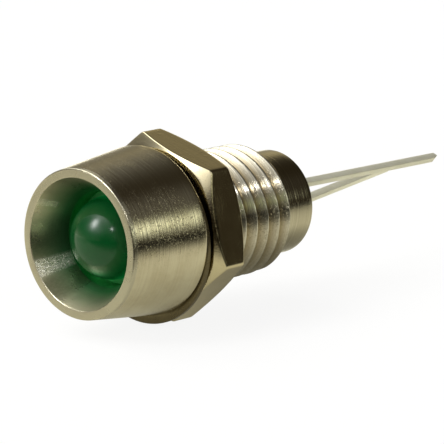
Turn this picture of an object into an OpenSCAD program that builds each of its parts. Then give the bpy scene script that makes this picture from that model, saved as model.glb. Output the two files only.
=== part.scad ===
// Led panel indicator: a turned, nickel plated bezel with a 5 mm lamp, a hexagonal panel nut and two bare leads.
// The axis lies along Y with the lamp towards -Y. The origin is the middle of the shoulder that seats on the panel.

/* [Head] */
// Diameter over the front rim
rim_outer_d = 8.9; // [8:0.05:14]
// Width of the flat rim between the reflector and the outside of the head
rim_w = 0.52; // [0.3:0.02:1]
// Break on both edges of the rim
rim_chamfer = 0.1; // [0.05:0.01:0.2]
// Largest diameter of the head, just in front of the shoulder
head_rear_d = 10.15; // [9.5:0.05:16]
// Length of the head from the rim to the panel shoulder
head_len = 5.7; // [4.5:0.1:9]
// Radius that rolls the head into the shoulder
head_round = 0.32; // [0.1:0.02:0.6]

/* [Reflector] */
// Depth of the conical reflector below the rim
reflector_depth = 2.25; // [1.2:0.05:3]
// Radial width of the groove left open round the lamp
groove_w = 0.37; // [0.2:0.01:0.6]
// Depth of that groove below the reflector
groove_depth = 0.95; // [0.4:0.05:1.5]

/* [Barrel] */
// Outside diameter of the panel thread
thread_d = 8; // [7.5:0.1:12]
// Pitch of the panel thread
thread_pitch = 1; // [0.75:0.05:1.25]
// Depth of the thread, plated and truncated
thread_depth = 0.4; // [0.3:0.02:0.5]
// Width of the flat on each thread crest
thread_crest = 0.16; // [0.1:0.01:0.25]
// Angle of each worn and plated thread flank from square
thread_flank = 42; // [30:1:45]
// Length of the threaded barrel behind the shoulder
thread_len = 9; // [7:0.1:20]
// Length of the plain tail behind the thread
tail_len = 2.6; // [1:0.1:8]
// Wall of the plain tail
tail_wall = 0.32; // [0.25:0.01:1]
// Break on the end of the tail
tail_chamfer = 0.15; // [0.05:0.01:0.2]

/* [Panel washer] */
// Outside diameter of the thin washer under the nut
washer_d = 10.7; // [10:0.1:16]
// Thickness of the washer
washer_t = 0.35; // [0.2:0.01:0.5]
// How far the loose washer hangs below the axis
washer_drop = 0.4; // [0.05:0.01:0.4]
// Break on the outer edges of the washer
washer_chamfer = 0.06; // [0.02:0.01:0.08]

/* [Panel nut] */
// Width across the flats of the nut
nut_af = 10; // [9.5:0.1:16]
// Thickness of the nut
nut_t = 2.5; // [1.8:0.1:4]
// Space between the panel shoulder and the nut
nut_gap = 0.6; // [0:0.1:3]
// Angle of the turned faces that trim the corners of the nut
nut_face_angle = 30; // [15:1:40]
// Radius of the flat washer face of the nut, inside half the width across flats
nut_face_inset = 0.135; // [0.05:0.005:0.3]
// Turn of the nut about the axis
nut_turn = 42.4; // [0:0.1:60]

/* [Lamp] */
// Diameter of the lamp body
led_d = 5; // [4.4:0.1:6]
// Height of the lamp from its base to the top of the dome
led_h = 8.6; // [7.6:0.1:10.4]
// Depth of the top of the dome below the rim
led_inset = 0.4; // [0:0.05:1]
// How far the flange stands out beyond the body
flange_step = 0.35; // [0.2:0.01:0.5]
// Thickness of the flange
flange_t = 1; // [0.8:0.05:1.4]
// Width and height of the square die
die_w = 0.3; // [0.2:0.01:0.36]
// Thickness of the die
die_t = 0.15; // [0.1:0.01:0.2]
// Outside diameter of the cup that holds the die
cup_d = 1.5; // [1.3:0.05:1.6]
// Height of the top of the cup above the base of the lamp
cup_top = 5.3; // [4.8:0.05:5.6]
// Depth of the cup
cup_depth = 0.4; // [0.3:0.01:0.5]
// Thickness of the gold wire between the die and the anode
wire_t = 0.03; // [0.02:0.005:0.05]

/* [Leads] */
// Side of the square lead wire
lead_w = 0.45; // [0.4:0.01:0.55]
// Distance between the two leads
lead_pitch = 2.54; // [2.3:0.01:2.8]
// Turn of the plane of the leads about the axis
lead_turn = 50.7; // [0:0.1:90]
// Reach of the longer lead, the anode, behind the base of the lamp
anode_len = 23.3; // [14:0.1:30]
// Reach of the shorter lead, the cathode, behind the base of the lamp
cathode_len = 22.2; // [13:0.1:29]
// Angle that the anode has been bent through where it leaves the tail
anode_bend = 0.9; // [0.4:0.1:10]
// Angle that the cathode has been bent through where it leaves the tail
cathode_bend = 6.6; // [0.4:0.1:10]
// Radius of the hand made bends
bend_r = 10; // [4:0.5:15]
// Length of the slanted cut at the end of each lead
cut_len = 0.38; // [0.2:0.01:0.6]

/* [Plug] */
// Depth of the back of the plug inside the end of the tail
plug_inset = 0.4; // [0.1:0.05:1]
// Break on both edges of the plug
plug_chamfer = 0.2; // [0.1:0.01:0.4]
// Diameter of the moulding gate dimple in the back of the plug
dimple_d = 0.9; // [0.6:0.05:1.1]
// Depth of that dimple
dimple_depth = 0.25; // [0.1:0.05:0.5]

/* [Fits] */
// Radial clearance between the lamp and the bore that locates it
lamp_clear = 0.04; // [0.01:0.01:0.1]
// Radial clearance between the flange and its bore
flange_clear = 0.05; // [0.01:0.01:0.1]
// Radial clearance between the thread crests and the nut
nut_clear = 0.03; // [0.01:0.01:0.1]
// Clearance between the washer and the shoulder, and over the thread that it hangs on
washer_clear = 0.02; // [0.01:0.01:0.1]
// Radial clearance between the plug and its bore
plug_clear = 0.02; // [0.01:0.01:0.1]
// Clearance round each lead in the plug
lead_clear = 0.05; // [0.01:0.01:0.1]
// Thinnest wall left under the thread
root_wall = 0.4; // [0.3:0.05:1]

/* [Hidden] */
$fn = 96;
eps = 0.01;
lamp_r = led_d / 2;
flange_r = lamp_r + flange_step;
lamp_bore_r = lamp_r + lamp_clear;
flange_bore_r = flange_r + flange_clear;
throat_r = lamp_r + groove_w;
// The barrel never grows thinner than the bore for the flange needs
barrel_r = max(thread_d / 2, flange_bore_r + root_wall + thread_depth);
root_r = barrel_r - thread_depth;
tail_r = min(flange_bore_r + tail_wall, barrel_r - eps);
rim_r = max(rim_outer_d / 2, throat_r + rim_w + 2 * rim_chamfer);
rim_inner_r = rim_r - rim_w;
head_r = max(head_rear_d / 2, barrel_r + head_round + 0.5, rim_r);
body_len = head_len + thread_len + tail_len;
base_s = led_inset + led_h;
ledge_s = base_s - flange_t;
groove_s = reflector_depth + groove_depth;
thread_end_s = head_len + thread_len;
// A fine pitch shortens the flanks, so that some root is always left between them
flank_run = min(thread_depth * tan(thread_flank), (thread_pitch - thread_crest) / 2 - 0.05);
root_flat = thread_pitch - thread_crest - 2 * flank_run;
thread_count = floor(thread_len / thread_pitch + eps);
// The ridges are set out from the end of the thread, and any part pitch left over is a relief at the shoulder
thread_start_s = thread_end_s - thread_count * thread_pitch;
nut_flat_r = max(nut_af / 2, barrel_r + 0.8);
nut_corner_r = nut_flat_r / cos(30);
nut_face_r = nut_flat_r - nut_face_inset;
nut_bore_r = barrel_r + nut_clear;
// The nut always leaves room for the washer
nut_s = head_len + max(nut_gap, washer_t + 3 * washer_clear);
washer_bore_r = barrel_r + washer_clear + washer_drop;
washer_r = max(washer_d / 2, washer_bore_r + 0.6);
nut_bore_chamfer = 0.25;
plug_r = flange_bore_r - plug_clear;
plug_end_s = body_len - plug_inset;
bend_start = body_len - base_s;
anode_u = lead_pitch / 2;
cathode_u = -lead_pitch / 2;
dome_z = led_h - lamp_r;
cup_floor = cup_top - cup_depth;
cup_mouth_r = cup_d / 2 - 0.22;
cup_floor_r = die_w / 2 + 0.16;
cup_body = 0.95;
anvil_top = cup_top - 0.55;
post_top = cup_top - 0.3;
// The post leans towards the cup but keeps clear of it
post_edge_u = max(anode_u - lead_w / 2 - 0.12, cup_d / 2 + 0.1);
die_top = cup_floor + die_t;
bend_steps = 6;

// Stands a turned shape along the axis of the part: its z is the distance in front of the shoulder
module on_axis() {
  rotate([90, 0, 0])
    children();
}

// Stands a shape on the base of the lamp, turned to the plane of the leads
module on_lamp() {
  on_axis()
    translate([0, 0, head_len - base_s])
      rotate([0, 0, lead_turn])
        children();
}

// A point of a turned profile: radius, and distance behind the rim
function at(r, s) = [r, head_len - s];

// Quarter round from the side of the head down to the shoulder
function shoulder_round(n) = [
  for (i = [0 : n])
    let (a = 90 * i / n)
      at(head_r - head_round + head_round * cos(a), head_len - head_round + head_round * sin(a))
];

// One thread ridge: up the flank, over the crest and down again
function ridge(i) =
  let (s = thread_start_s + root_flat / 2 + i * thread_pitch)
    [
      at(root_r, s),
      at(barrel_r, s + flank_run),
      at(barrel_r, s + flank_run + thread_crest),
      at(root_r, s + 2 * flank_run + thread_crest)
    ];

// Outside of the body from the rim back to the tail
function body_outside() = concat(
  [at(rim_inner_r + rim_chamfer, 0), at(rim_r - rim_chamfer, 0), at(rim_r, rim_chamfer)],
  shoulder_round(6),
  [at(root_r, head_len)],
  [for (i = [0 : thread_count - 1]) for (p = ridge(i)) p],
  [at(root_r, thread_end_s), at(tail_r, thread_end_s)],
  [at(tail_r, body_len - tail_chamfer), at(tail_r - tail_chamfer, body_len)]
);

// Inside of the body from the tail forward to the reflector
function body_inside() = [
  at(flange_bore_r, body_len),
  at(flange_bore_r, ledge_s),
  at(lamp_bore_r, ledge_s),
  at(lamp_bore_r, groove_s),
  at(throat_r, groove_s),
  at(throat_r, reflector_depth),
  at(rim_inner_r, rim_chamfer)
];

// Head, reflector, threaded barrel and tail turned from one bar
module bezel_body() {
  color([0.72, 0.70, 0.60])
    on_axis()
      rotate_extrude()
        polygon(concat(body_outside(), body_inside()));
}

// Thin stamped washer that hangs loose on the thread, close to the shoulder
module panel_washer() {
  color([0.45, 0.40, 0.32])
    on_axis()
      translate([0, -washer_drop, -washer_clear - washer_t])
        rotate_extrude()
          polygon([
            [washer_bore_r, 0],
            [washer_r - washer_chamfer, 0],
            [washer_r, washer_chamfer],
            [washer_r, washer_t - washer_chamfer],
            [washer_r - washer_chamfer, washer_t],
            [washer_bore_r, washer_t]
          ]);
}

// Turned envelope that trims the corners of the nut on both faces
module nut_envelope() {
  reach = (nut_corner_r - nut_face_r + eps) * tan(nut_face_angle);
  rotate_extrude()
    polygon([
      [0, 0],
      [nut_face_r, 0],
      [nut_corner_r + eps, reach],
      [nut_corner_r + eps, nut_t - reach],
      [nut_face_r, nut_t],
      [0, nut_t]
    ]);
}

// Bore of the nut with its lead-in at both faces
module nut_bore() {
  mouth_r = nut_bore_r + nut_bore_chamfer;
  rotate_extrude()
    polygon([
      [0, -eps],
      [mouth_r + eps, -eps],
      [nut_bore_r, nut_bore_chamfer],
      [nut_bore_r, nut_t - nut_bore_chamfer],
      [mouth_r + eps, nut_t + eps],
      [0, nut_t + eps]
    ]);
}

// Six sided nut run up behind the panel
module panel_nut() {
  color([0.70, 0.68, 0.60])
    on_axis()
      translate([0, 0, head_len - nut_s - nut_t])
        rotate([0, 0, nut_turn])
          difference() {
            intersection() {
              cylinder(r = nut_corner_r, h = nut_t, $fn = 6);
              nut_envelope();
            }
            nut_bore();
          }
}

// Moulded outside of the lamp: flange, straight body and dome
module lens_blank() {
  difference() {
    union() {
      cylinder(r = flange_r, h = flange_t);
      cylinder(r = lamp_r, h = dome_z);
      translate([0, 0, dome_z])
        sphere(r = lamp_r);
    }
    translate([-lamp_r - flange_r, -flange_r, -eps])
      cube([flange_r, 2 * flange_r, flange_t + 2 * eps]);
  }
}

// Clear green epoxy with the lead frame cast into it
module led_lens() {
  color([0.10, 0.42, 0.18])
    on_lamp()
      difference() {
        lens_blank();
        anode_frame();
        cathode_frame();
        die();
        wire();
      }
}

// A flat piece stamped from the lead strip, drawn as outline points of u and z
module stamped(points) {
  rotate([90, 0, 0])
    linear_extrude(height = lead_w, center = true)
      polygon(points);
}

// Anode post inside the lamp
module anode_frame() {
  stamped([
    [anode_u - lead_w / 2, -eps],
    [anode_u + lead_w / 2, -eps],
    [anode_u + lead_w / 2, post_top - 0.5],
    [anode_u + lead_w / 2 - 0.15, post_top],
    [post_edge_u, post_top],
    [post_edge_u, post_top - 0.9],
    [anode_u - lead_w / 2, post_top - 1.4]
  ]);
}

// Cathode anvil inside the lamp, with the cup for the die on the axis
module cathode_frame() {
  difference() {
    union() {
      stamped([
        [cathode_u - lead_w / 2, -eps],
        [cathode_u + lead_w / 2, -eps],
        [cathode_u + lead_w / 2, anvil_top - 2.2],
        [0.3, anvil_top - 1.1],
        [cup_d / 2 - 0.05, anvil_top - 0.4],
        [cup_d / 2 - 0.05, anvil_top],
        [-cup_d / 2, anvil_top],
        [cathode_u - lead_w / 2, anvil_top - 0.9]
      ]);
      translate([0, 0, cup_top - cup_body])
        cylinder(r = cup_d / 2, h = cup_body);
    }
    cup_hollow();
  }
}

// Conical hollow of the cup, carried a little above its mouth
module cup_hollow() {
  rise = (cup_mouth_r - cup_floor_r) * eps / cup_depth;
  translate([0, 0, cup_floor])
    cylinder(r1 = cup_floor_r, r2 = cup_mouth_r + rise, h = cup_depth + eps);
}

// Side view of a lead behind the lamp, as points of v and z: straight through the plug, bent, straight to the cut
function lead_outline(len, bend) =
  let (
    h = lead_w / 2,
    centre = [for (i = [0 : bend_steps]) bend_point(bend * i / bend_steps)],
    side = [for (i = [0 : bend_steps]) across(bend * i / bend_steps) * h],
    tip = centre[bend_steps] + along(bend) * ((len - bend_start - bend_r * sin(bend)) / cos(bend))
  )
    concat(
      [[h, 0]],
      [for (i = [0 : bend_steps]) centre[i] + side[i]],
      [tip + side[bend_steps] - along(bend) * cut_len],
      [tip + side[bend_steps] / 4],
      [tip - side[bend_steps] - along(bend) * cut_len / 2],
      [for (i = [bend_steps : -1 : 0]) centre[i] - side[i]],
      [[-h, 0]]
    );

// Middle of the wire where the bend has reached angle a
function bend_point(a) = [bend_r * (1 - cos(a)), -bend_start - bend_r * sin(a)];

// Direction across the wire, and direction along it, at angle a of the bend
function across(a) = [cos(a), sin(a)];
function along(a) = [sin(a), -cos(a)];

// Lead behind the lamp, bent square to the plane that the two leads share
module lead_wire(len, bend) {
  rotate([90, 0, 90])
    linear_extrude(height = lead_w, center = true)
      polygon(lead_outline(len, bend));
}

// Longer lead, with its post
module anode_lead() {
  color([0.66, 0.66, 0.60])
    on_lamp() {
      anode_frame();
      translate([anode_u, 0, 0])
        mirror([0, 1, 0])
          lead_wire(anode_len, anode_bend);
    }
}

// Shorter lead, with its anvil and cup
module cathode_lead() {
  color([0.62, 0.62, 0.57])
    on_lamp() {
      cathode_frame();
      translate([cathode_u, 0, 0])
        lead_wire(cathode_len, cathode_bend);
    }
}

// Square die on the floor of the cup
module die() {
  translate([-die_w / 2, -die_w / 2, cup_floor])
    cube([die_w, die_w, die_t]);
}

// The die as a piece of its own
module led_die() {
  color([0.75, 0.72, 0.35])
    on_lamp()
      die();
}

// Looped gold wire from the top of the die over the rim of the cup to the post
module wire() {
  foot = post_edge_u + 0.12;
  loop_top = cup_top + 0.3;
  stitch = 0.1;
  rotate([90, 0, 0])
    linear_extrude(height = wire_t, center = true)
      polygon([
        [-stitch / 2, die_top],
        [stitch / 2, die_top],
        [stitch / 2, loop_top - 0.15],
        [foot * 0.35, loop_top - wire_t],
        [foot * 0.65, loop_top - wire_t],
        [foot - stitch / 2, post_top],
        [foot + stitch / 2, post_top],
        [foot * 0.65 + wire_t, loop_top],
        [foot * 0.35 - wire_t, loop_top],
        [stitch / 2 - wire_t, loop_top - 0.1]
      ]);
}

// The wire as a piece of its own
module bond_wire() {
  color([0.85, 0.68, 0.25])
    on_lamp()
      wire();
}

// Square passage for one lead through the plug
module lead_passage(u) {
  side = lead_w + 2 * lead_clear;
  depth = plug_end_s - base_s;
  translate([u - side / 2, -side / 2, -depth - eps])
    cube([side, side, depth + 2 * eps]);
}

// Moulded plug pressed into the tail behind the lamp
module plug() {
  depth = plug_end_s - base_s;
  color([0.10, 0.10, 0.10])
    on_lamp()
      difference() {
        rotate_extrude()
          polygon([
            [0, -depth],
            [plug_r - plug_chamfer, -depth],
            [plug_r, -depth + plug_chamfer],
            [plug_r, -plug_chamfer],
            [plug_r - plug_chamfer, 0],
            [0, 0]
          ]);
        lead_passage(anode_u);
        lead_passage(cathode_u);
        translate([0, 0, -depth - eps])
          cylinder(r = dimple_d / 2, h = dimple_depth + eps);
      }
}

bezel_body();
panel_washer();
panel_nut();
led_lens();
anode_lead();
cathode_lead();
led_die();
bond_wire();
plug();
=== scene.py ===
import math
from collections import namedtuple
import bmesh
import bpy
from mathutils import Matrix, Vector


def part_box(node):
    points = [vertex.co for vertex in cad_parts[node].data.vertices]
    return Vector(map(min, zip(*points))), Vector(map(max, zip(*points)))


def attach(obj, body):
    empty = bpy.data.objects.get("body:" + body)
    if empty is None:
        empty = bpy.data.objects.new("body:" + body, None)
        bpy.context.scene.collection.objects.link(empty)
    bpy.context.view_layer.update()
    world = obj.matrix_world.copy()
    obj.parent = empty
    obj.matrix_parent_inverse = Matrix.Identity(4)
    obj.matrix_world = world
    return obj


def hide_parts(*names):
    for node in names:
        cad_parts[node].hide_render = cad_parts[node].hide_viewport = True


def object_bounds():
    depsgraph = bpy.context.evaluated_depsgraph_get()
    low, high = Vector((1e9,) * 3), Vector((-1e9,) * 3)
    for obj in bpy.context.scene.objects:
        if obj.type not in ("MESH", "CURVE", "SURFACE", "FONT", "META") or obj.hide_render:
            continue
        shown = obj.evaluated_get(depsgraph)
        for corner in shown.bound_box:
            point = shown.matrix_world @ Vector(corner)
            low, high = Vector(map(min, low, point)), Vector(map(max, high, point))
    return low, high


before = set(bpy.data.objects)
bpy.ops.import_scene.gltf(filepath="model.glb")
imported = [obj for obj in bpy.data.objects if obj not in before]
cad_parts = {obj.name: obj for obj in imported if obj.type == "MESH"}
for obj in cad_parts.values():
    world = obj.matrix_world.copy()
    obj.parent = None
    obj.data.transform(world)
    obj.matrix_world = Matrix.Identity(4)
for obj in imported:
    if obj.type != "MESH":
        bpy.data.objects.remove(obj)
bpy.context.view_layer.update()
MM = 0.001

# ---------------------------------------------------------------- sizes, in millimetres and degrees
# s is a distance behind the rim, and the frame's origin is the middle of the panel shoulder
# the bezel, from its rim back: head, reflector, throat, the lamp's bore and flange bore, and tail
BODY_LOW, BODY_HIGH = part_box("bezel_body")
RIM_Y = BODY_LOW.y / MM
BODY_LEN = (BODY_HIGH.y - BODY_LOW.y) / MM
HEAD_LEN = -RIM_Y
HEAD_R = BODY_HIGH.x / MM
HEAD_ROUND = 0.32
RIM_R, RIM_INNER_R = 4.455, 3.935
REFLECTOR_DEPTH, THROAT_R = 2.25, 2.87
GROOVE_S, LAMP_BORE_R = 3.2, 2.54
LEDGE_S, FLANGE_BORE_R = 8.0, 2.9
TAIL_R = 3.22

# the thread, worn narrower on the bezel's crests; FLANK_WEAR is how much wear and plating widen a flank
THREAD_R, THREAD_DEPTH, PITCH, THREAD_TURNS = 4.0, 0.4, 1.0, 9
FLANK_ANGLE, FLANK_WEAR = 42, 0.08
BEZEL_CREST, NUT_CREST = 0.096, 0.22
ROOT_R = THREAD_R - THREAD_DEPTH
THREAD_END_S = HEAD_LEN + THREAD_TURNS * PITCH

# the nut, flat out to NUT_FACE_R on both faces, with a corner at NUT_CORNER_ANGLE from +X towards +Z
NUT_LOW, NUT_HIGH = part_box("panel_nut")
NUT_Y, NUT_T = NUT_LOW.y / MM, (NUT_HIGH.y - NUT_LOW.y) / MM
NUT_FLAT_R, NUT_FACE_R, NUT_FACE_ANGLE = 5.0, 4.865, 30
NUT_CORNER_ANGLE = 102.4
NUT_CLEAR = 0.06

# the washer, hanging below the axis and a little towards -X
WASHER_LOW, WASHER_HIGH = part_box("panel_washer")
WASHER_R, WASHER_SIDE, WASHER_DROP = 5.2, 0.3, 0.545
WASHER_CLEAR = 0.02

# the lamp, whose flat faces away from LEAD_TURN, and the width of the soft edge on its leads
LAMP_LOW, LAMP_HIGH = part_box("led_lens")
LAMP_R, FLANGE_R, FLANGE_T = 2.5, 2.85, 1.0
LEAD_TURN = 50.7
LEAD_BREAK = 0.05


def srgb(code):
    """A hex colour as linear red, green, blue and alpha."""
    parts = [int(code[i:i + 2], 16) / 255 for i in (1, 3, 5)]
    return [c / 12.92 if c <= 0.04045 else ((c + 0.055) / 1.055) ** 2.4 for c in parts] + [1.0]


def add(tree, kind, at=None, **sockets):
    """A node with its settings (a dict) and its inputs, by label or, where labels repeat, by _ and a number.

    Each input gets a value, or the socket that feeds it, or a node whose first live output feeds it.
    """
    made = tree.nodes.new(kind)
    for name, value in (at or {}).items():
        setattr(made, name, value)
    for name, value in sockets.items():
        key = int(name[1:]) if name[0] == "_" and name[1:].isdigit() else name.replace("_", " ")
        target = made.inputs[key]
        if isinstance(value, bpy.types.Node):
            value = next(out for out in value.outputs if out.enabled)
        if isinstance(value, bpy.types.NodeSocket):
            tree.links.new(value, target)
        else:
            target.default_value = value
    return made


def blank_material(name):
    """A new material, and its tree with no nodes in it yet."""
    made = bpy.data.materials.new(name)
    made.use_nodes = True
    made.node_tree.nodes.clear()
    return made, made.node_tree


def per_mm(size):
    """The noise scale that gives patches of this many millimetres, on coordinates in metres."""
    return 1 / (size * MM)


# ---------------------------------------------------------------- finishes
# clouds of stain in the plating, and scratches where it is rubbed; real scratches and turning marks are a
# few hundredths of a millimetre apart, and are drawn coarser here so that they show
STAIN_MM, SCRATCH_MM = 2.4, 0.1
# how high their relief is at full strength
PIT_DEEP, MARK_DEEP, SCRATCH_DEEP = 0.02 * MM, 0.03 * MM, 0.04 * MM
# a band of painted shade, painted highlight or painted reflection on one side of a piece: its middle and half
# width in degrees round the axis, from +X towards +Z; the Y in millimetres where it ends; its colour and
# strength; a factor on the roughness; and how scratched it is
PaintedBand = namedtuple("PaintedBand", "middle half end shade amount gloss scratches")


def one_side(tree, place, band):
    """Nodes for a band of painted light or shade: its strength, the scratches in it, and its strength where
    they break it up.
    """
    part = add(tree, "ShaderNodeSeparateXYZ", Vector=place).outputs
    across = add(tree, "ShaderNodeCombineXYZ", X=part["X"], Z=part["Z"])
    outward = add(tree, "ShaderNodeVectorMath", {"operation": "NORMALIZE"}, _0=across)
    toward = (math.cos(math.radians(band.middle)), 0, math.sin(math.radians(band.middle)))
    near = add(tree, "ShaderNodeVectorMath", {"operation": "DOT_PRODUCT"}, _0=outward, _1=toward)
    # full strength near the middle, and a soft fall to nothing at the half width
    side = add(tree, "ShaderNodeMapRange", {"interpolation_type": "SMOOTHSTEP"}, Value=near,
               From_Min=math.cos(math.radians(band.half)), From_Max=math.cos(math.radians(band.half * 0.15)),
               To_Min=0.0, To_Max=band.amount)
    stop = add(tree, "ShaderNodeMapRange", Value=part["Y"], From_Min=(band.end - 0.15) * MM,
               From_Max=band.end * MM, To_Min=1.0, To_Max=0.0)
    side = add(tree, "ShaderNodeMath", {"operation": "MULTIPLY"}, _0=side, _1=stop)
    # the scratches are drawn out along the axis
    drawn = add(tree, "ShaderNodeMapping", Vector=place, Scale=(1, 0.3, 1))
    scratch = add(tree, "ShaderNodeTexNoise", Vector=drawn, Scale=per_mm(SCRATCH_MM), Detail=3.0,
                  Roughness=0.7)
    uneven = add(tree, "ShaderNodeMapRange", Value=scratch, From_Min=0.38, From_Max=0.56,
                 To_Min=1.0 - band.scratches, To_Max=1.0)
    band_paint = add(tree, "ShaderNodeMath", {"operation": "MULTIPLY"}, _0=side, _1=uneven)
    return side, scratch, band_paint


def bright_nickel(name, tint, stain, rough, mark_mm, mark_depth, pit_mm, pit_depth, sheen=0.5,
                  metallic=1.0, painted_lamp_green=None, root=None, painted_bands=()):
    """Bright nickel plated on turned brass: a warm mirror, softened by turning marks and small pits.

    sheen spreads each highlight across the marks, painted_lamp_green is a painted reflection of the green
    lamp, greener deeper in, root is painted shade at the foot of a thread, and painted_bands are bands of
    painted shade, highlight or reflection round one side. A metallic a little under 1 stands for the faint
    dull film of old plating, which lifts its darkest parts.
    """
    made, tree = blank_material(name)
    place = add(tree, "ShaderNodeTexCoord").outputs["Object"]
    part = add(tree, "ShaderNodeSeparateXYZ", Vector=place).outputs
    # turning marks run round the piece, so they change only along its axis
    line = add(tree, "ShaderNodeTexNoise", {"noise_dimensions": "1D"}, W=part["Y"], Scale=per_mm(mark_mm),
               Detail=3.0, Roughness=0.65)
    cloud = add(tree, "ShaderNodeTexNoise", Vector=place, Scale=per_mm(STAIN_MM), Detail=4.0, Roughness=0.6)
    grain = add(tree, "ShaderNodeTexNoise", Vector=place, Scale=per_mm(pit_mm), Detail=2.0, Roughness=0.7)
    # only the peaks of the grain stand out, as scattered specks with smooth plating between them
    specks = add(tree, "ShaderNodeMapRange", {"interpolation_type": "SMOOTHSTEP"}, Value=grain,
                 From_Min=0.54, From_Max=0.74)
    patchy = add(tree, "ShaderNodeMapRange", Value=cloud, From_Min=0.44, From_Max=0.58, To_Min=0.15,
                 To_Max=1.0)
    pits = add(tree, "ShaderNodeMath", {"operation": "MULTIPLY"}, _0=specks, _1=patchy)
    normal = add(tree, "ShaderNodeBump", Strength=pit_depth, Distance=PIT_DEEP, Height=pits)
    normal = add(tree, "ShaderNodeBump", Strength=mark_depth, Distance=MARK_DEEP, Height=line, Normal=normal)
    # thin plating lets a little of the brass through in the stained patches
    colour = add(tree, "ShaderNodeMix", {"data_type": "RGBA"}, _0=cloud, _6=srgb(tint), _7=srgb(stain))
    # the deeper turning marks hold a little grime
    grime = add(tree, "ShaderNodeMapRange", Value=line, From_Min=0.35, From_Max=0.62,
                To_Min=mark_depth * mark_depth, To_Max=0.0)
    colour = add(tree, "ShaderNodeMix", {"data_type": "RGBA"}, _0=grime, _6=colour, _7=srgb("#6A5C40"))
    if painted_lamp_green:
        # painted reflection: the colour turns greener deeper in, towards the green lamp
        near = add(tree, "ShaderNodeMapRange", Value=part["Y"], From_Min=(RIM_Y + 0.2) * MM,
                   From_Max=(RIM_Y + 1.8) * MM)
        colour = add(tree, "ShaderNodeMix", {"data_type": "RGBA"}, _0=near, _6=colour, _7=srgb(painted_lamp_green))
    if root:
        # painted shade: the foot of the thread is darkened as if the crests shaded it, and the crests keep
        # the plain colour
        across = add(tree, "ShaderNodeCombineXYZ", X=part["X"], Z=part["Z"])
        radius = add(tree, "ShaderNodeVectorMath", {"operation": "LENGTH"}, _0=across)
        crest_unshaded = add(tree, "ShaderNodeMapRange", Value=radius, From_Min=(ROOT_R + 0.02) * MM,
                    From_Max=(THREAD_R - 0.02) * MM)
        colour = add(tree, "ShaderNodeMix", {"data_type": "RGBA"}, _0=crest_unshaded, _6=srgb(root), _7=colour)
    dull = add(tree, "ShaderNodeMapRange", Value=cloud, From_Min=0.3, From_Max=0.75, To_Min=rough * 0.75,
               To_Max=rough * 1.35)
    for band in painted_bands:
        side, scratch, band_paint = one_side(tree, place, band)
        depth = add(tree, "ShaderNodeMath", {"operation": "MULTIPLY"}, _0=side, _1=band.scratches)
        normal = add(tree, "ShaderNodeBump", Strength=depth, Distance=SCRATCH_DEEP, Height=scratch,
                     Normal=normal)
        change = add(tree, "ShaderNodeMath", {"operation": "MULTIPLY_ADD"}, _0=band_paint, _1=band.gloss - 1.0,
                     _2=1.0)
        dull = add(tree, "ShaderNodeMath", {"operation": "MULTIPLY"}, _0=dull, _1=change)
        # painted shade, painted highlight or painted reflection over one side of the piece
        colour = add(tree, "ShaderNodeMix", {"data_type": "RGBA"}, _0=band_paint, _6=colour, _7=srgb(band.shade))
    round_axis = add(tree, "ShaderNodeTangent", {"direction_type": "RADIAL", "axis": "Y"})
    skin = add(tree, "ShaderNodeBsdfPrincipled", Base_Color=colour, Metallic=metallic, Roughness=dull,
               Anisotropic=sheen, Anisotropic_Rotation=0.25, Tangent=round_axis, Normal=normal)
    add(tree, "ShaderNodeOutputMaterial", Surface=skin)
    return made


def green_epoxy():
    """Cast green epoxy of the lamp: a deep, slightly cloudy green that passes some light, glassy outside."""
    made, tree = blank_material("cast_green_epoxy")
    place = add(tree, "ShaderNodeTexCoord").outputs["Object"]
    axis = add(tree, "ShaderNodeSeparateXYZ", Vector=place).outputs["Y"]
    cloud = add(tree, "ShaderNodeTexNoise", Vector=place, Scale=per_mm(1.6), Detail=2.0)
    colour = add(tree, "ShaderNodeMix", {"data_type": "RGBA"}, _0=cloud, _6=srgb("#053B19"),
                 _7=srgb("#094A24"))
    ripple = add(tree, "ShaderNodeTexNoise", Vector=place, Scale=per_mm(0.9), Detail=1.0)
    wave = add(tree, "ShaderNodeBump", Strength=0.05, Distance=0.05 * MM, Height=ripple)
    # painted glow: the body glows a little, most low on the sides down in the reflector, standing in for
    # light that the dome gathers and gives out again
    painted_glow = add(tree, "ShaderNodeMapRange", Value=axis, From_Min=(RIM_Y + 2.0) * MM,
                  From_Max=(RIM_Y + 3.1) * MM, To_Min=0.06, To_Max=1.0)
    # the glassy outside is a coat, over a body that mirrors little by itself
    body = add(tree, "ShaderNodeBsdfPrincipled", Base_Color=colour, Roughness=0.2, IOR=1.32,
               Coat_Weight=0.40, Coat_Roughness=0.05, Coat_IOR=1.5, Normal=wave,
               Emission_Color=srgb("#0A6A30"), Emission_Strength=painted_glow)
    clear = add(tree, "ShaderNodeBsdfPrincipled", Base_Color=srgb("#2FA060"), Roughness=0.2, IOR=1.5,
                Transmission_Weight=1.0, Normal=wave)
    skin = add(tree, "ShaderNodeMixShader", _0=0.18, _1=body, _2=clear)
    add(tree, "ShaderNodeOutputMaterial", Surface=skin)
    return made


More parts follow.
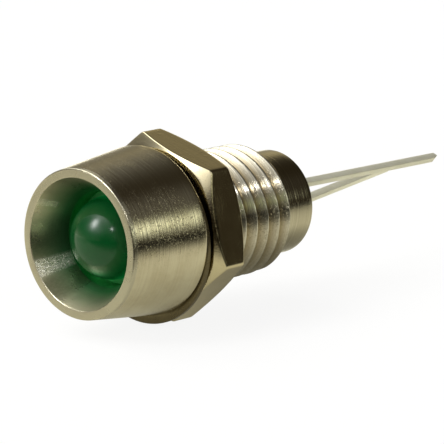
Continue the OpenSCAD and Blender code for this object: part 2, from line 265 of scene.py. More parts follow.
def tinned_steel():
    """Tin dipped steel strip of the leads: dull pale tin, with fine lines drawn along its length."""
    made, tree = blank_material("tinned_lead_strip")
    place = add(tree, "ShaderNodeTexCoord").outputs["Object"]
    drawn = add(tree, "ShaderNodeMapping", Vector=place, Scale=(1, 0.06, 1))
    line = add(tree, "ShaderNodeTexNoise", Vector=drawn, Scale=per_mm(0.12), Detail=3.0)
    cloud = add(tree, "ShaderNodeTexNoise", Vector=place, Scale=per_mm(1.1), Detail=3.0)
    colour = add(tree, "ShaderNodeMix", {"data_type": "RGBA"}, _0=cloud, _6=srgb("#FFFEEE"),
                 _7=srgb("#E6E3CC"))
    dull = add(tree, "ShaderNodeMapRange", Value=cloud, To_Min=0.30, To_Max=0.46)
    bump = add(tree, "ShaderNodeBump", Strength=0.3, Distance=0.02 * MM, Height=line)
    skin = add(tree, "ShaderNodeBsdfPrincipled", Base_Color=colour, Metallic=0.35, Roughness=dull,
               Normal=bump)
    add(tree, "ShaderNodeOutputMaterial", Surface=skin)
    return made


def moulded_nylon():
    """Black moulded nylon of the plug: dull, with a fine cast grain."""
    made, tree = blank_material("moulded_black_nylon")
    place = add(tree, "ShaderNodeTexCoord").outputs["Object"]
    grain = add(tree, "ShaderNodeTexNoise", Vector=place, Scale=per_mm(0.15), Detail=2.0)
    colour = add(tree, "ShaderNodeMix", {"data_type": "RGBA"}, _0=grain, _6=srgb("#121212"),
                 _7=srgb("#1E1D1C"))
    bump = add(tree, "ShaderNodeBump", Strength=0.25, Distance=0.02 * MM, Height=grain)
    skin = add(tree, "ShaderNodeBsdfPrincipled", Base_Color=colour, Roughness=0.55, Normal=bump)
    add(tree, "ShaderNodeOutputMaterial", Surface=skin)
    return made


def chip_crystal():
    """Gallium phosphide chip: a yellowish crystal, darker in small random patches."""
    made, tree = blank_material("gallium_phosphide_chip")
    place = add(tree, "ShaderNodeTexCoord").outputs["Object"]
    grain = add(tree, "ShaderNodeTexNoise", Vector=place, Scale=per_mm(0.08), Detail=2.0)
    colour = add(tree, "ShaderNodeMix", {"data_type": "RGBA"}, _0=grain, _6=srgb("#C8B860"),
                 _7=srgb("#9C8F48"))
    skin = add(tree, "ShaderNodeBsdfPrincipled", Base_Color=colour, Roughness=0.25)
    add(tree, "ShaderNodeOutputMaterial", Surface=skin)
    return made


def drawn_gold():
    """Drawn gold wire: bright and yellow, a little uneven."""
    made, tree = blank_material("drawn_gold_wire")
    place = add(tree, "ShaderNodeTexCoord").outputs["Object"]
    grain = add(tree, "ShaderNodeTexNoise", Vector=place, Scale=per_mm(0.05), Detail=2.0)
    dull = add(tree, "ShaderNodeMapRange", Value=grain, To_Min=0.15, To_Max=0.35)
    skin = add(tree, "ShaderNodeBsdfPrincipled", Base_Color=srgb("#E8B84A"), Metallic=1.0, Roughness=dull)
    add(tree, "ShaderNodeOutputMaterial", Surface=skin)
    return made


# the head is bright, with fine turning lines and a sparkle of specks wherever a light is mirrored
HEAD_NICKEL = bright_nickel("turned_nickel_head", "#E4DEC6", "#B5AA86", rough=0.16, mark_mm=0.20,
                            mark_depth=0.30, pit_mm=0.09, pit_depth=0.34, sheen=0.25)
# the reflector is duller, with a painted green reflection of the lamp deeper in; on one side a pale band of
# painted highlight, smoother and scratched, lies between two bands of painted shade, and a fine painted
# highlight line above them stops short of the throat
REFLECTOR_PAINTED_LIGHT = [
    PaintedBand(middle=-178, half=30, end=0, shade="#38563A", amount=0.75, gloss=1.0, scratches=0.1),
    PaintedBand(middle=-127, half=19, end=0, shade="#4E5A38", amount=0.6, gloss=1.0, scratches=0.2),
    PaintedBand(middle=-150, half=10, end=0, shade="#F0EFE0", amount=0.85, gloss=0.5, scratches=0.85),
    PaintedBand(middle=147, half=5, end=RIM_Y + 1.3, shade="#F0EFE0", amount=0.4, gloss=0.6, scratches=0.3),
]
REFLECTOR_NICKEL = bright_nickel("bored_nickel_reflector", "#D6D2B6", "#B4AE90", rough=0.30, mark_mm=0.12,
                                 mark_depth=0.15, pit_mm=0.12, pit_depth=0.10, sheen=0.4, metallic=0.82,
                                 painted_lamp_green="#4A8656", painted_bands=REFLECTOR_PAINTED_LIGHT)
# the rim is rubbed to a soft even sheen by handling
RIM_NICKEL = bright_nickel("turned_nickel_rim", "#CCC8B2", "#B8B198", rough=0.26, mark_mm=0.10,
                           mark_depth=0.3, pit_mm=0.12, pit_depth=0.5)
# the thread is pale on its crests, with painted shade at its foot and painted shade over its lower side
# towards +X
THREAD_PAINTED_SHADE = [
    PaintedBand(middle=-35, half=50, end=9.5, shade="#9A9074", amount=0.5, gloss=1.0, scratches=0.4),
]
THREAD_NICKEL = bright_nickel("rolled_nickel_thread", "#F2F0E4", "#D6CFB8", rough=0.14, mark_mm=0.13,
                              mark_depth=0.45, pit_mm=0.12, pit_depth=0.45, sheen=0.3, metallic=0.92,
                              root="#9C8C6A", painted_bands=THREAD_PAINTED_SHADE)
# the tail is turned smooth, and mirrors the room in clear bands
TAIL_NICKEL = bright_nickel("turned_nickel_tail", "#D0CBB4", "#B8AF92", rough=0.13, mark_mm=0.14,
                            mark_depth=0.4, pit_mm=0.18, pit_depth=0.2)
# the nut's flats are plain mirrors, and painted shade, dark brown, lies over the turned face next to the head
NUT_PAINTED_SHADE = [
    PaintedBand(middle=10, half=27, end=NUT_Y + 0.42, shade="#3A2A18", amount=1.0, gloss=1.0, scratches=0.4),
]
NUT_NICKEL = bright_nickel("milled_nickel_nut", "#E0D6B6", "#C4B890", rough=0.14, mark_mm=0.40,
                           mark_depth=0.15, pit_mm=0.25, pit_depth=0.2, sheen=0.0, painted_bands=NUT_PAINTED_SHADE)
# the bore is dull, and its colour is a painted reflection of the green lamp all over
BORE_NICKEL = bright_nickel("bored_nickel_inside", "#8C9870", "#6C7850", rough=0.4, mark_mm=0.12,
                            mark_depth=0.5, pit_mm=0.2, pit_depth=0.3, sheen=0.2, painted_lamp_green="#4A9A62")
# the washer's thin plating has browned, and its colour is darkened further as painted shade for the gap
# between head and nut, so it shows as a dark line
WASHER_STEEL = bright_nickel("browned_washer_with_painted_shade", "#80765A", "#544A34", rough=0.26, mark_mm=0.5,
                             mark_depth=0.2, pit_mm=0.12, pit_depth=0.5, sheen=0.3, metallic=0.9)
EPOXY = green_epoxy()
TINNED = tinned_steel()
NYLON = moulded_nylon()
CHIP = chip_crystal()
GOLD = drawn_gold()


# ---------------------------------------------------------------- the thread rule
def thread_tree():
    """Geometry nodes that raise a right-hand helical ridge on whatever rows a lathe has set aside for it."""
    tree = bpy.data.node_groups.new("helical_thread", "GeometryNodeTree")
    face = tree.interface
    face.new_socket("Geometry", in_out="INPUT", socket_type="NodeSocketGeometry")
    for name in ("Pitch", "Depth", "Crest", "Flank", "Start"):
        face.new_socket(name, in_out="INPUT", socket_type="NodeSocketFloat")
    face.new_socket("Finish", in_out="INPUT", socket_type="NodeSocketMaterial")
    face.new_socket("Geometry", in_out="OUTPUT", socket_type="NodeSocketGeometry")
    given = add(tree, "NodeGroupInput").outputs
    low = add(tree, "GeometryNodeInputNamedAttribute", {"data_type": "FLOAT"}, Name="thread_low")
    high = add(tree, "GeometryNodeInputNamedAttribute", {"data_type": "FLOAT"}, Name="thread_high")
    row = add(tree, "GeometryNodeInputNamedAttribute", {"data_type": "FLOAT"}, Name="thread_row")
    place = add(tree, "GeometryNodeInputPosition")
    part = add(tree, "ShaderNodeSeparateXYZ", Vector=place).outputs
    # how many turns of the helix lie before this point, counted along the axis and round it; the whole turns
    # added keep the count above nought, so that its fraction runs the same way everywhere
    angle = add(tree, "ShaderNodeMath", {"operation": "ARCTAN2"}, _0=part["Z"], _1=part["X"])
    turns = add(tree, "ShaderNodeMath", {"operation": "DIVIDE"}, _0=angle, _1=math.tau)
    along = add(tree, "ShaderNodeMath", {"operation": "SUBTRACT"}, _0=part["Y"], _1=given["Start"])
    along = add(tree, "ShaderNodeMath", {"operation": "DIVIDE"}, _0=along, _1=given["Pitch"])
    count = add(tree, "ShaderNodeMath", {"operation": "ADD"}, _0=along, _1=turns)
    count = add(tree, "ShaderNodeMath", {"operation": "ADD"}, _0=count, _1=40.0)
    phase = add(tree, "ShaderNodeMath", {"operation": "FRACT"}, _0=count)
    # distance from the middle of the crest, along the axis
    away = add(tree, "ShaderNodeMath", {"operation": "SUBTRACT"}, _0=phase, _1=0.5)
    away = add(tree, "ShaderNodeMath", {"operation": "ABSOLUTE"}, _0=away)
    away = add(tree, "ShaderNodeMath", {"operation": "MULTIPLY"}, _0=away, _1=given["Pitch"])
    foot = add(tree, "ShaderNodeMath", {"operation": "ADD"}, _0=given["Crest"], _1=given["Flank"])
    ridge = add(tree, "ShaderNodeMapRange", Value=away, From_Min=foot, From_Max=given["Crest"])
    height = add(tree, "ShaderNodeMath", {"operation": "MULTIPLY"}, _0=ridge, _1=given["Depth"])
    height = add(tree, "ShaderNodeMath", {"operation": "MAXIMUM"}, _0=height, _1=low)
    height = add(tree, "ShaderNodeMath", {"operation": "MINIMUM"}, _0=height, _1=high)
    across = add(tree, "ShaderNodeCombineXYZ", X=part["X"], Z=part["Z"])
    outward = add(tree, "ShaderNodeVectorMath", {"operation": "NORMALIZE"}, _0=across)
    offset = add(tree, "ShaderNodeVectorMath", {"operation": "SCALE"}, _0=outward, Scale=height)
    moved = add(tree, "GeometryNodeSetPosition", Geometry=given["Geometry"], Offset=offset)
    real = add(tree, "GeometryNodeRealizeInstances", Geometry=moved)
    cut = add(tree, "ShaderNodeMath", {"operation": "COMPARE"}, _0=row, _1=1.0, _2=0.1)
    done = add(tree, "GeometryNodeSetMaterial", Geometry=real, Selection=cut, Material=given["Finish"])
    add(tree, "NodeGroupOutput", Geometry=done)
    return tree


THREAD = thread_tree()


def cut_thread(piece, crest, finish):
    """Runs the thread rule on a piece and keeps the result as a plain mesh."""
    cutter = piece.modifiers.new("thread", "NODES")
    cutter.node_group = THREAD
    ids = {i.name: i.identifier for i in THREAD.interface.items_tree if i.in_out == "INPUT"}
    flank = THREAD_DEPTH * math.tan(math.radians(FLANK_ANGLE)) + FLANK_WEAR
    start = RIM_Y + THREAD_END_S - THREAD_TURNS * PITCH
    sizes = {"Pitch": PITCH, "Depth": THREAD_DEPTH, "Crest": crest / 2, "Flank": flank, "Start": start}
    for name, size in sizes.items():
        cutter[ids[name]] = size * MM
    cutter[ids["Finish"]] = finish
    evaluated = piece.evaluated_get(bpy.context.evaluated_depsgraph_get())
    result = bpy.data.meshes.new_from_object(evaluated)
    piece.modifiers.remove(cutter)
    old = piece.data
    piece.data = result
    bpy.data.meshes.remove(old)


# ---------------------------------------------------------------- lathe
# one ring of a piece: its radius and its Y in millimetres, each a number or a function of the angle; which
# of the piece's finishes it has; the least and most that a thread raises it; and 1 if it is a thread's row
Ring = namedtuple("Ring", "r y finish low high row", defaults=(0, 0, 0, 0))


def even_angles(count):
    """Angles of that many even steps round the axis."""
    return [math.tau * k / count for k in range(count)]


def fine_rows(start, end, step):
    """Evenly spaced places from start to end, both left out."""
    count = max(2, round(abs(end - start) / step))
    return [start + (end - start) * i / count for i in range(1, count)]


def rounded(corners, steps=5):
    """Profile points (r, s), with each corner that has a third number rounded to that radius."""
    out = []
    for i, corner in enumerate(corners):
        here = Vector(corner[:2])
        if len(corner) < 3:
            out.append(tuple(here))
            continue
        before = Vector(corners[i - 1][:2]) - here
        after = Vector(corners[(i + 1) % len(corners)][:2]) - here
        half = before.angle(after) / 2
        # a rounding takes up no more than its share of the two sides next to it
        reach = min(corner[2] / math.tan(half), before.length * 0.49, after.length * 0.49)
        radius = reach * math.tan(half)
        middle = here + (before.normalized() + after.normalized()).normalized() * (radius / math.sin(half))
        first = here + before.normalized() * reach - middle
        last = here + after.normalized() * reach - middle
        sweep = first.angle_signed(last)
        for k in range(steps + 1):
            a = -sweep * k / steps
            turned = Vector((first.x * math.cos(a) - first.y * math.sin(a),
                             first.x * math.sin(a) + first.y * math.cos(a)))
            out.append(tuple(middle + turned))
    return out


def placed(name, mesh):
    """A mesh as an object in the scene, at the origin."""
    made = bpy.data.objects.new(name, mesh)
    bpy.context.scene.collection.objects.link(made)
    return made


def ring_mesh(name, rings, finishes, angles):
    """A closed band of quads through the rings, in order and back to the first."""
    mesh = bpy.data.meshes.new(name)
    count, turns = len(rings), len(angles)
    points, low, high, row = [], [], [], []
    for ring in rings:
        for a in angles:
            r = ring.r(a) if callable(ring.r) else ring.r
            y = ring.y(a) if callable(ring.y) else ring.y
            points.append((r * math.cos(a) * MM, y * MM, r * math.sin(a) * MM))
            low.append(ring.low * MM)
            high.append(ring.high * MM)
            row.append(float(ring.row))
    faces, slots = [], []
    for i in range(count):
        j = (i + 1) % count
        for k in range(turns):
            m = (k + 1) % turns
            faces.append((i * turns + k, i * turns + m, j * turns + m, j * turns + k))
            slots.append(rings[i].finish)
    mesh.from_pydata(points, [], faces)
    for key, values in (("thread_low", low), ("thread_high", high), ("thread_row", row)):
        mesh.attributes.new(key, "FLOAT", "POINT").data.foreach_set("value", values)
    for finish in finishes:
        mesh.materials.append(finish)
    mesh.polygons.foreach_set("material_index", slots)
    return placed(name, mesh)


def finish_mesh(piece, sharp):
    """Faces outwards, smooth, with the edges kept that turn by more than this many degrees."""
    work = bmesh.new()
    work.from_mesh(piece.data)
    bmesh.ops.recalc_face_normals(work, faces=work.faces)
    work.to_mesh(piece.data)
    work.free()
    piece.data.shade_smooth()
    piece.data.set_sharp_from_angle(angle=math.radians(sharp))
    for key in ("thread_low", "thread_high", "thread_row"):
        if key in piece.data.attributes:
            piece.data.attributes.remove(piece.data.attributes[key])


def piece_from(work, name, finish):
    """A piece from the faces in a bmesh: outwards, smooth, with its real edges kept."""
    bmesh.ops.recalc_face_normals(work, faces=work.faces)
    mesh = bpy.data.meshes.new(name)
    work.to_mesh(mesh)
    work.free()
    mesh.materials.append(finish)
    mesh.shade_smooth()
    mesh.set_sharp_from_angle(angle=math.radians(40))
    return placed(name, mesh)


# ---------------------------------------------------------------- bezel
def turned_bezel():
    """Head, reflector, threaded barrel and tail in one turned piece."""
    head, reflector, rim, thread, tail, bore = range(6)
    finishes = [HEAD_NICKEL, REFLECTOR_NICKEL, RIM_NICKEL, THREAD_NICKEL, TAIL_NICKEL, BORE_NICKEL]
    cone = (HEAD_R - RIM_R) / (HEAD_LEN - HEAD_ROUND)
    wall = (RIM_INNER_R - THROAT_R) / REFLECTOR_DEPTH
    # a corner just broken, and one a little softer
    crisp, soft = 0.04, 0.05
    rings = []

    def run(points, slot):
        rings.extend(Ring(r, RIM_Y + s, slot) for r, s in points)

    # the first and last of these points only give the slopes of the reflector and the head next to the rim
    edge = rounded([(RIM_INNER_R - 0.5, 1.06), (RIM_INNER_R, 0, 0.07), (RIM_R, 0, 0.1), (RIM_R + cone, 1)])
    run(edge[1:-1], rim)
    head_rows = (0.3, 0.8, 1.6, 2.4, 3.2, 4.0, 4.6, 5.1)
    run([(RIM_R + cone * s, s) for s in head_rows], head)
    back = rounded([(RIM_R + cone * head_rows[-1], head_rows[-1]),
                    (RIM_R + cone * HEAD_LEN, HEAD_LEN, HEAD_ROUND), (ROOT_R, HEAD_LEN)], 8)
    run(back[1:-1], head)
    run([(r, HEAD_LEN) for r in (4.3, 3.75)], head)

    run([(ROOT_R + crisp, HEAD_LEN), (ROOT_R, HEAD_LEN + crisp)], thread)
    # the thread starts after a short neck, and runs out into the barrel at both ends
    neck, run_in, run_out = 0.05, 0.35, 0.5
    for s in fine_rows(HEAD_LEN + crisp, THREAD_END_S - crisp, PITCH / 30):
        room = min(1.0, (s - HEAD_LEN - neck) / run_in, (THREAD_END_S - s) / run_out)
        rings.append(Ring(ROOT_R, RIM_Y + s, thread, high=max(0.0, room) * THREAD_DEPTH, row=1))
    run([(ROOT_R, THREAD_END_S - crisp), (ROOT_R - crisp, THREAD_END_S)], thread)

    run([(TAIL_R + soft, THREAD_END_S), (TAIL_R, THREAD_END_S + soft)], tail)
    run([(TAIL_R, s) for s in (THREAD_END_S + 0.2, THREAD_END_S + 1.2, BODY_LEN - 0.5)], tail)
    end = rounded([(TAIL_R, BODY_LEN - 0.5), (TAIL_R, BODY_LEN, 0.14), (FLANGE_BORE_R, BODY_LEN, 0.06),
                   (FLANGE_BORE_R, BODY_LEN - 0.5)])
    run(end[1:-1], tail)

    run([(FLANGE_BORE_R, s) for s in (BODY_LEN - 0.3, 12.0, LEDGE_S + 0.1, LEDGE_S)], bore)
    run([(LAMP_BORE_R, s) for s in (LEDGE_S, LEDGE_S - 0.1, GROOVE_S + 0.1, GROOVE_S)], bore)
    run([(THROAT_R - crisp, GROOVE_S), (THROAT_R, GROOVE_S - crisp)], bore)
    run([(THROAT_R, REFLECTOR_DEPTH + 0.5), (THROAT_R, REFLECTOR_DEPTH + 0.08)], bore)
    reflector_rows = (0.06, 0.4, 0.9, 1.4, 1.9, 2.12)
    run([(THROAT_R + wall * up, REFLECTOR_DEPTH - up) for up in reflector_rows], reflector)

    piece = ring_mesh("turned_bezel", rings, finishes, even_angles(192))
    cut_thread(piece, BEZEL_CREST, THREAD_NICKEL)
    finish_mesh(piece, sharp=38)
    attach(piece, "root")
    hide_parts("bezel_body")


# ---------------------------------------------------------------- washer
def hung_washer():
    """Thin stamped washer: one face rounded over by the punch, the other left nearly sharp."""
    punched, burr, bore_round, bore_burr = 0.12, 0.03, 0.03, 0.08
    inner = THREAD_R + WASHER_CLEAR + math.hypot(WASHER_DROP, WASHER_SIDE)
    front, back = WASHER_LOW.y / MM, WASHER_HIGH.y / MM
    profile = rounded([(inner, front, bore_round), (WASHER_R, front, punched), (WASHER_R, back, burr),
                       (inner, back, bore_burr)])
    piece = ring_mesh("hung_washer", [Ring(r, y) for r, y in profile], [WASHER_STEEL], even_angles(160))
    # it hangs on the barrel, a little to one side
    piece.data.transform(Matrix.Translation((-WASHER_SIDE * MM, 0, -WASHER_DROP * MM)))
    finish_mesh(piece, sharp=38)
    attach(piece, "root")
    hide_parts("panel_washer")


# ---------------------------------------------------------------- nut
def hex_radius(angle):
    """Radius of the hexagon with softly rounded corners at this angle."""
    # the higher the power, the sharper the corners
    power = 90
    total = 0.0
    for k in range(6):
        toward = math.cos(angle - math.radians(NUT_CORNER_ANGLE + 30 + 60 * k))
        if toward > 0:
            total += (toward / NUT_FLAT_R) ** power
    return total ** (-1 / power)


def panel_nut():
    """Hexagonal nut with its corners turned off at thirty degrees and a real internal thread."""
    slope = math.tan(math.radians(NUT_FACE_ANGLE))
    back_y, front_y = NUT_Y + NUT_T, NUT_Y
    # degrees past each corner; the columns of quads crowd there, where the turned face curves most
    offsets = [0, 0.5, 1.1, 1.8, 2.7, 3.8, 5.4, 7.6, 10.5, 14, 18, 23, 28]
    angles = []
    for k in range(6):
        corner = NUT_CORNER_ANGLE + 60 * k
        angles += [corner + o for o in offsets] + [corner + 60 - o for o in offsets[:0:-1]]
    angles = [math.radians(a) for a in angles]

    # the bore, with a countersink at each mouth that clears the thread away; it reaches further out than in
    bore_rows, mouth, mouth_slope = 48, THREAD_DEPTH + 0.16, 0.75
    rings = []
    for i in range(bore_rows + 1):
        y = front_y + NUT_T * i / bore_rows
        near = min(y - front_y, back_y - y)
        bell = max(0.0, mouth - near / mouth_slope)
        rings.append(Ring(ROOT_R + NUT_CLEAR, y, low=bell, high=max(THREAD_DEPTH, bell)))

    def drop(r):
        """How far the turned face has fallen away at this radius."""
        return max(0.0, (r - NUT_FACE_R)) * slope

    def ring(inset, extra):
        """A ring that far inside the hexagon, that far below the turned face, on both faces."""
        return (lambda a: hex_radius(a) - inset, lambda a: drop(hex_radius(a) - inset) + extra)

    # from the flat face out over the turned face and round the edge to the flats; the turned face starts just
    # past the flat one, and the edge's rounding just inside the hexagon
    turn_r, edge = NUT_FACE_R + 0.01, 0.06
    outside = [(4.45, 0.0), (4.8, 0.0), (turn_r, 0.004)]
    outside += [(lambda a, f=f: turn_r + (hex_radius(a) - edge - turn_r) * f,
                 lambda a, f=f: drop(turn_r + (hex_radius(a) - edge - turn_r) * f)) for f in (0.33, 0.66)]
    outside += [ring(edge, 0.0), ring(0.026, 0.004), ring(0.007, 0.018), ring(0.0, 0.05), ring(0.0, 0.16)]

    def on_back(y):
        return (lambda a: back_y - y(a)) if callable(y) else back_y - y

    def on_front(y):
        return (lambda a: front_y + y(a)) if callable(y) else front_y + y

    rings += [Ring(r, on_back(y)) for r, y in outside]
    rings.append(Ring(hex_radius, (front_y + back_y) / 2))
    rings += [Ring(r, on_front(y)) for r, y in reversed(outside)]
    piece = ring_mesh("hex_panel_nut", rings, [NUT_NICKEL], angles)
    cut_thread(piece, NUT_CREST, NUT_NICKEL)
    finish_mesh(piece, sharp=42)
    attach(piece, "root")
    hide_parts("panel_nut")


# ---------------------------------------------------------------- lamp
def cast_lamp():
    """Epoxy body of the lamp: a full dome on a straight body with a flange that has one flat."""
    tip_y, base_y = LAMP_LOW.y / MM, LAMP_HIGH.y / MM
    flange_y, fillet, edge = base_y - FLANGE_T, 0.06, 0.08
    dome_rows, turns = 28, 128
    dome = [math.radians(90 * i / dome_rows) for i in range(1, dome_rows + 1)]
    profile = [(LAMP_R * math.sin(a), tip_y + LAMP_R * (1 - math.cos(a))) for a in dome]
    body_rows = (0.3, 1.5, 3.0, 4.6, 4.95)
    profile += [(LAMP_R, tip_y + LAMP_R + behind) for behind in body_rows]
    profile += [(LAMP_R + fillet, flange_y), (FLANGE_R - edge, flange_y), (FLANGE_R, flange_y + edge)]
    profile += [(FLANGE_R, base_y - FLANGE_T / 2), (FLANGE_R, base_y - edge), (FLANGE_R - edge, base_y)]
    profile += [(r, base_y) for r in (2.0, 1.0, 0.4)]
    work = bmesh.new()
    rows = [[work.verts.new((r * math.cos(a) * MM, y * MM, r * math.sin(a) * MM))
             for a in even_angles(turns)] for r, y in profile]
    for upper, lower in zip(rows, rows[1:]):
        for k in range(turns):
            m = (k + 1) % turns
            work.faces.new((upper[k], upper[m], lower[m], lower[k]))
    for row, y in ((rows[0], tip_y), (rows[-1], base_y)):
        pole = work.verts.new((0, y * MM, 0))
        for k in range(turns):
            work.faces.new((row[k], row[(k + 1) % turns], pole))
    # the flat on the flange marks the cathode
    away = Vector((math.cos(math.radians(LEAD_TURN)), 0, math.sin(math.radians(LEAD_TURN))))
    for v in work.verts:
        over = -v.co.dot(away) - LAMP_R * MM
        if over > 0:
            v.co += away * over
    piece = piece_from(work, "cast_lamp", EPOXY)
    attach(piece, "root")
    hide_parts("led_lens")


# ---------------------------------------------------------------- leads
def softened_lead(node, name):
    """The stamped lead with its sheared edges just broken, as tin leaves them."""
    work = bmesh.new()
    work.from_mesh(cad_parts[node].data)
    # the CAD mesh is loose triangles, so it is joined up and its flat faces made whole first
    bmesh.ops.remove_doubles(work, verts=work.verts, dist=0.0005 * MM)
    bmesh.ops.dissolve_limit(work, angle_limit=math.radians(0.4), verts=work.verts, edges=work.edges)
    edges = [e for e in work.edges if len(e.link_faces) == 2 and e.calc_face_angle() > math.radians(30)]
    bmesh.ops.bevel(work, geom=edges, offset=LEAD_BREAK * MM, segments=3, profile=0.5, affect="EDGES",
                    clamp_overlap=True)
    piece = piece_from(work, name, TINNED)
    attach(piece, "root")
    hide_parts(node)


def finish_inner_pieces():
    """The pieces inside keep their CAD shapes, and get their finishes."""
    for node, finish in (("plug", NYLON), ("led_die", CHIP), ("bond_wire", GOLD)):
        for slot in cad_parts[node].material_slots:
            slot.material = finish


turned_bezel()
hung_washer()
panel_nut()
cast_lamp()
softened_lead("anode_lead", "tinned_anode")
softened_lead("cathode_lead", "tinned_cathode")
finish_inner_pieces()

# ---------------------------------------------------------------- floor, light and camera
FLOOR_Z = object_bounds()[0].z


def pale_floor():
    """A plain pale sheet under the object.

    The camera sees it evenly pale. The metal mirrors a painted pool of light on it, bright near the object
    and fading further off, with a painted shadow under the barrel.
    """
    # half the sheet's side, in metres
    reach = 1.5
    mesh = bpy.data.meshes.new("floor")
    mesh.from_pydata([(-reach, -reach, FLOOR_Z), (reach, -reach, FLOOR_Z), (reach, reach, FLOOR_Z),
                      (-reach, reach, FLOOR_Z)], [], [(0, 1, 2, 3)])
    made, tree = blank_material("pale_floor")
    place = add(tree, "ShaderNodeTexCoord").outputs["Object"]

    def fall(direction, first, last, stops):
        """The painted light's strength along one direction of the floor, from a list of (mm, level)."""
        along = add(tree, "ShaderNodeVectorMath", {"operation": "DOT_PRODUCT"}, _0=place, _1=direction)
        share = add(tree, "ShaderNodeMapRange", Value=along, From_Min=first * MM, From_Max=last * MM)
        ramp = add(tree, "ShaderNodeValToRGB", Fac=share)
        band = ramp.color_ramp
        while len(band.elements) < len(stops):
            band.elements.new(0.5)
        for element, (at, level) in zip(band.elements, stops):
            element.position = (at - first) / (last - first)
            # the sheet is a warm white
            element.color = (level, level * 0.985, level * 0.89, 1)
        return ramp

    to_front, to_side = (0.85, -0.53, 0), (0.66, 0.75, 0)
    front = fall(to_front, -80, 60,
                 [(-80, 0.90), (-40, 0.54), (-10, 0.42), (0, 0.36), (8, 0.36), (12, 0.33), (15, 0.2),
                  (19, 0.1), (25, 0.05), (34, 0.03), (55, 0.01)])
    side = fall(to_side, -60, 90,
                [(-55, 0.66), (-42, 0.82), (-30, 1.0), (18, 1.0), (32, 0.78), (42, 0.62), (60, 0.42),
                 (80, 0.28)])
    levels = add(tree, "ShaderNodeMix", {"data_type": "RGBA", "blend_type": "MULTIPLY"}, _0=1.0, _6=front,
                 _7=side)
    # painted shadow of the barrel on the floor under it: an oval, darkest at its middle
    middle_x, middle_y, half_x, half_y, darkest = 1, 11, 6, 11, 0.40
    painted_shadow = add(tree, "ShaderNodeVectorMath", {"operation": "MULTIPLY_ADD"}, _0=place,
                _1=(1 / half_x, 1 / half_y, 0), _2=(-middle_x * MM / half_x, -middle_y * MM / half_y, 0))
    painted_shadow = add(tree, "ShaderNodeVectorMath", {"operation": "LENGTH"}, _0=painted_shadow)
    painted_shadow = add(tree, "ShaderNodeMapRange", {"interpolation_type": "SMOOTHSTEP"}, Value=painted_shadow,
                From_Min=0.2 * MM, From_Max=1.3 * MM, To_Min=darkest, To_Max=1.0)
    levels = add(tree, "ShaderNodeVectorMath", {"operation": "SCALE"}, _0=levels, Scale=painted_shadow)
    around = add(tree, "ShaderNodeBsdfDiffuse", Color=levels)
    glow = add(tree, "ShaderNodeEmission", Color=levels, Strength=1.0)
    lit = add(tree, "ShaderNodeAddShader", _0=around, _1=glow)
    paper = add(tree, "ShaderNodeBsdfDiffuse", Color=srgb("#F4F4F2"))
    wash = add(tree, "ShaderNodeEmission", Color=srgb("#FCFCFC"), Strength=1.04)
    pale = add(tree, "ShaderNodeMixShader", _0=0.88, _1=paper, _2=wash)
    seen = add(tree, "ShaderNodeLightPath").outputs["Is Camera Ray"]
    skin = add(tree, "ShaderNodeMixShader", _0=seen, _1=lit, _2=pale)
    add(tree, "ShaderNodeOutputMaterial", Surface=skin)
    mesh.materials.append(made)
    placed("floor", mesh)


def facing(azimuth, elevation):
    """Unit vector for an azimuth from the lamp's end round towards +X, and an elevation, in degrees."""
    a, e = math.radians(azimuth), math.radians(elevation)
    return Vector((math.sin(a) * math.cos(e), -math.cos(a) * math.cos(e), math.sin(e)))


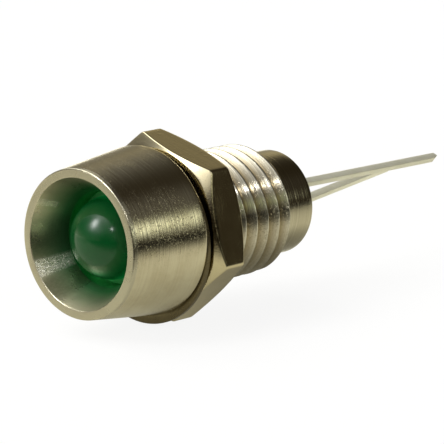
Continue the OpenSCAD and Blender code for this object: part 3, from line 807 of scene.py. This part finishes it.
def studio():
    """A dim warm room with soft-edged lights, all of it in the world's own nodes."""
    # azimuth, elevation, half width and half height in degrees, radiance and colour
    lights = {
        "key": (42, 33, 2.6, 3.6, 20, "#FFFFFF"),
        "window_middle": (-21, 39, 8, 10, 16.0, "#FFFFFF"),
        "right_lamp": (84, 42, 7, 4, 5.0, "#FFFFFF"),
        "window": (-13, 31, 22, 13, 2.1, "#FFFFFF"),
        "upper_left": (-97, 54, 18, 22, 3.0, "#FFFEFA"),
        "overhead": (-30, 63, 32, 14, 2.8, "#FFFEFA"),
        "top_right": (90, 44, 23, 14, 0.5, "#FFFEFA"),
        "back_left": (-146, 20, 10, 12, 0.55, "#FFEFC0"),
        "side_wall": (-81, -12, 46, 14, 2.2, "#FFF6DC"),
        "right_strip": (115, 16, 9.5, 7.5, 2.6, "#FBFFEA"),
        "right_wall": (63, 14, 16, 7, 0.42, "#EEFFC0"),
    }
    room_radiance = 0.027
    world = bpy.data.worlds.new("studio")
    world.use_nodes = True
    tree = world.node_tree
    tree.nodes.clear()
    way = add(tree, "ShaderNodeTexCoord").outputs["Generated"]
    total = add(tree, "ShaderNodeBackground", Color=srgb("#FFE2AC"), Strength=room_radiance)
    for azimuth, elevation, half_wide, half_tall, radiance, colour in lights.values():
        front = facing(azimuth, elevation)
        right = Vector((0, 0, 1)).cross(front).normalized()
        up = front.cross(right)
        # how far each direction lies from the middle of the light, in its half widths and half heights
        across = add(tree, "ShaderNodeVectorMath", {"operation": "DOT_PRODUCT"}, _0=way,
                     _1=right / math.sin(math.radians(half_wide)))
        high = add(tree, "ShaderNodeVectorMath", {"operation": "DOT_PRODUCT"}, _0=way,
                   _1=up / math.sin(math.radians(half_tall)))
        gap = add(tree, "ShaderNodeCombineXYZ", X=across, Y=high)
        gap = add(tree, "ShaderNodeVectorMath", {"operation": "DOT_PRODUCT"}, _0=gap, _1=gap)
        # the light fades as a bell does, and has nothing behind it
        fade = add(tree, "ShaderNodeMath", {"operation": "MULTIPLY"}, _0=gap, _1=-1.0)
        fade = add(tree, "ShaderNodeMath", {"operation": "EXPONENT"}, _0=fade)
        ahead = add(tree, "ShaderNodeVectorMath", {"operation": "DOT_PRODUCT"}, _0=way, _1=front)
        ahead = add(tree, "ShaderNodeMath", {"operation": "GREATER_THAN"}, _0=ahead, _1=0.0)
        level = add(tree, "ShaderNodeMath", {"operation": "MULTIPLY"}, _0=fade, _1=ahead)
        level = add(tree, "ShaderNodeMath", {"operation": "MULTIPLY"}, _0=level, _1=radiance)
        glow = add(tree, "ShaderNodeBackground", Color=srgb(colour), Strength=level)
        total = add(tree, "ShaderNodeAddShader", _0=total, _1=glow)
    add(tree, "ShaderNodeOutputWorld", Surface=total)
    bpy.context.scene.world = world


def view_camera():
    """The camera at the object's three quarter view, from its lamp end."""
    target, distance = Vector((3.319, 3.089, 0.444)), 179.31
    back = facing(41.776, 11.721)
    camera = bpy.data.cameras.new("camera")
    camera.sensor_width = 36
    camera.lens = 245.67
    camera.clip_start, camera.clip_end = 0.005, 10
    made = placed("camera", camera)
    made.location = (target + back * distance) * MM
    made.rotation_mode = "QUATERNION"
    made.rotation_quaternion = back.to_track_quat("Z", "Y")
    bpy.context.scene.camera = made


pale_floor()
studio()
view_camera()
# plain display colours, with no film curve
bpy.context.scene.view_settings.view_transform = "Standard"
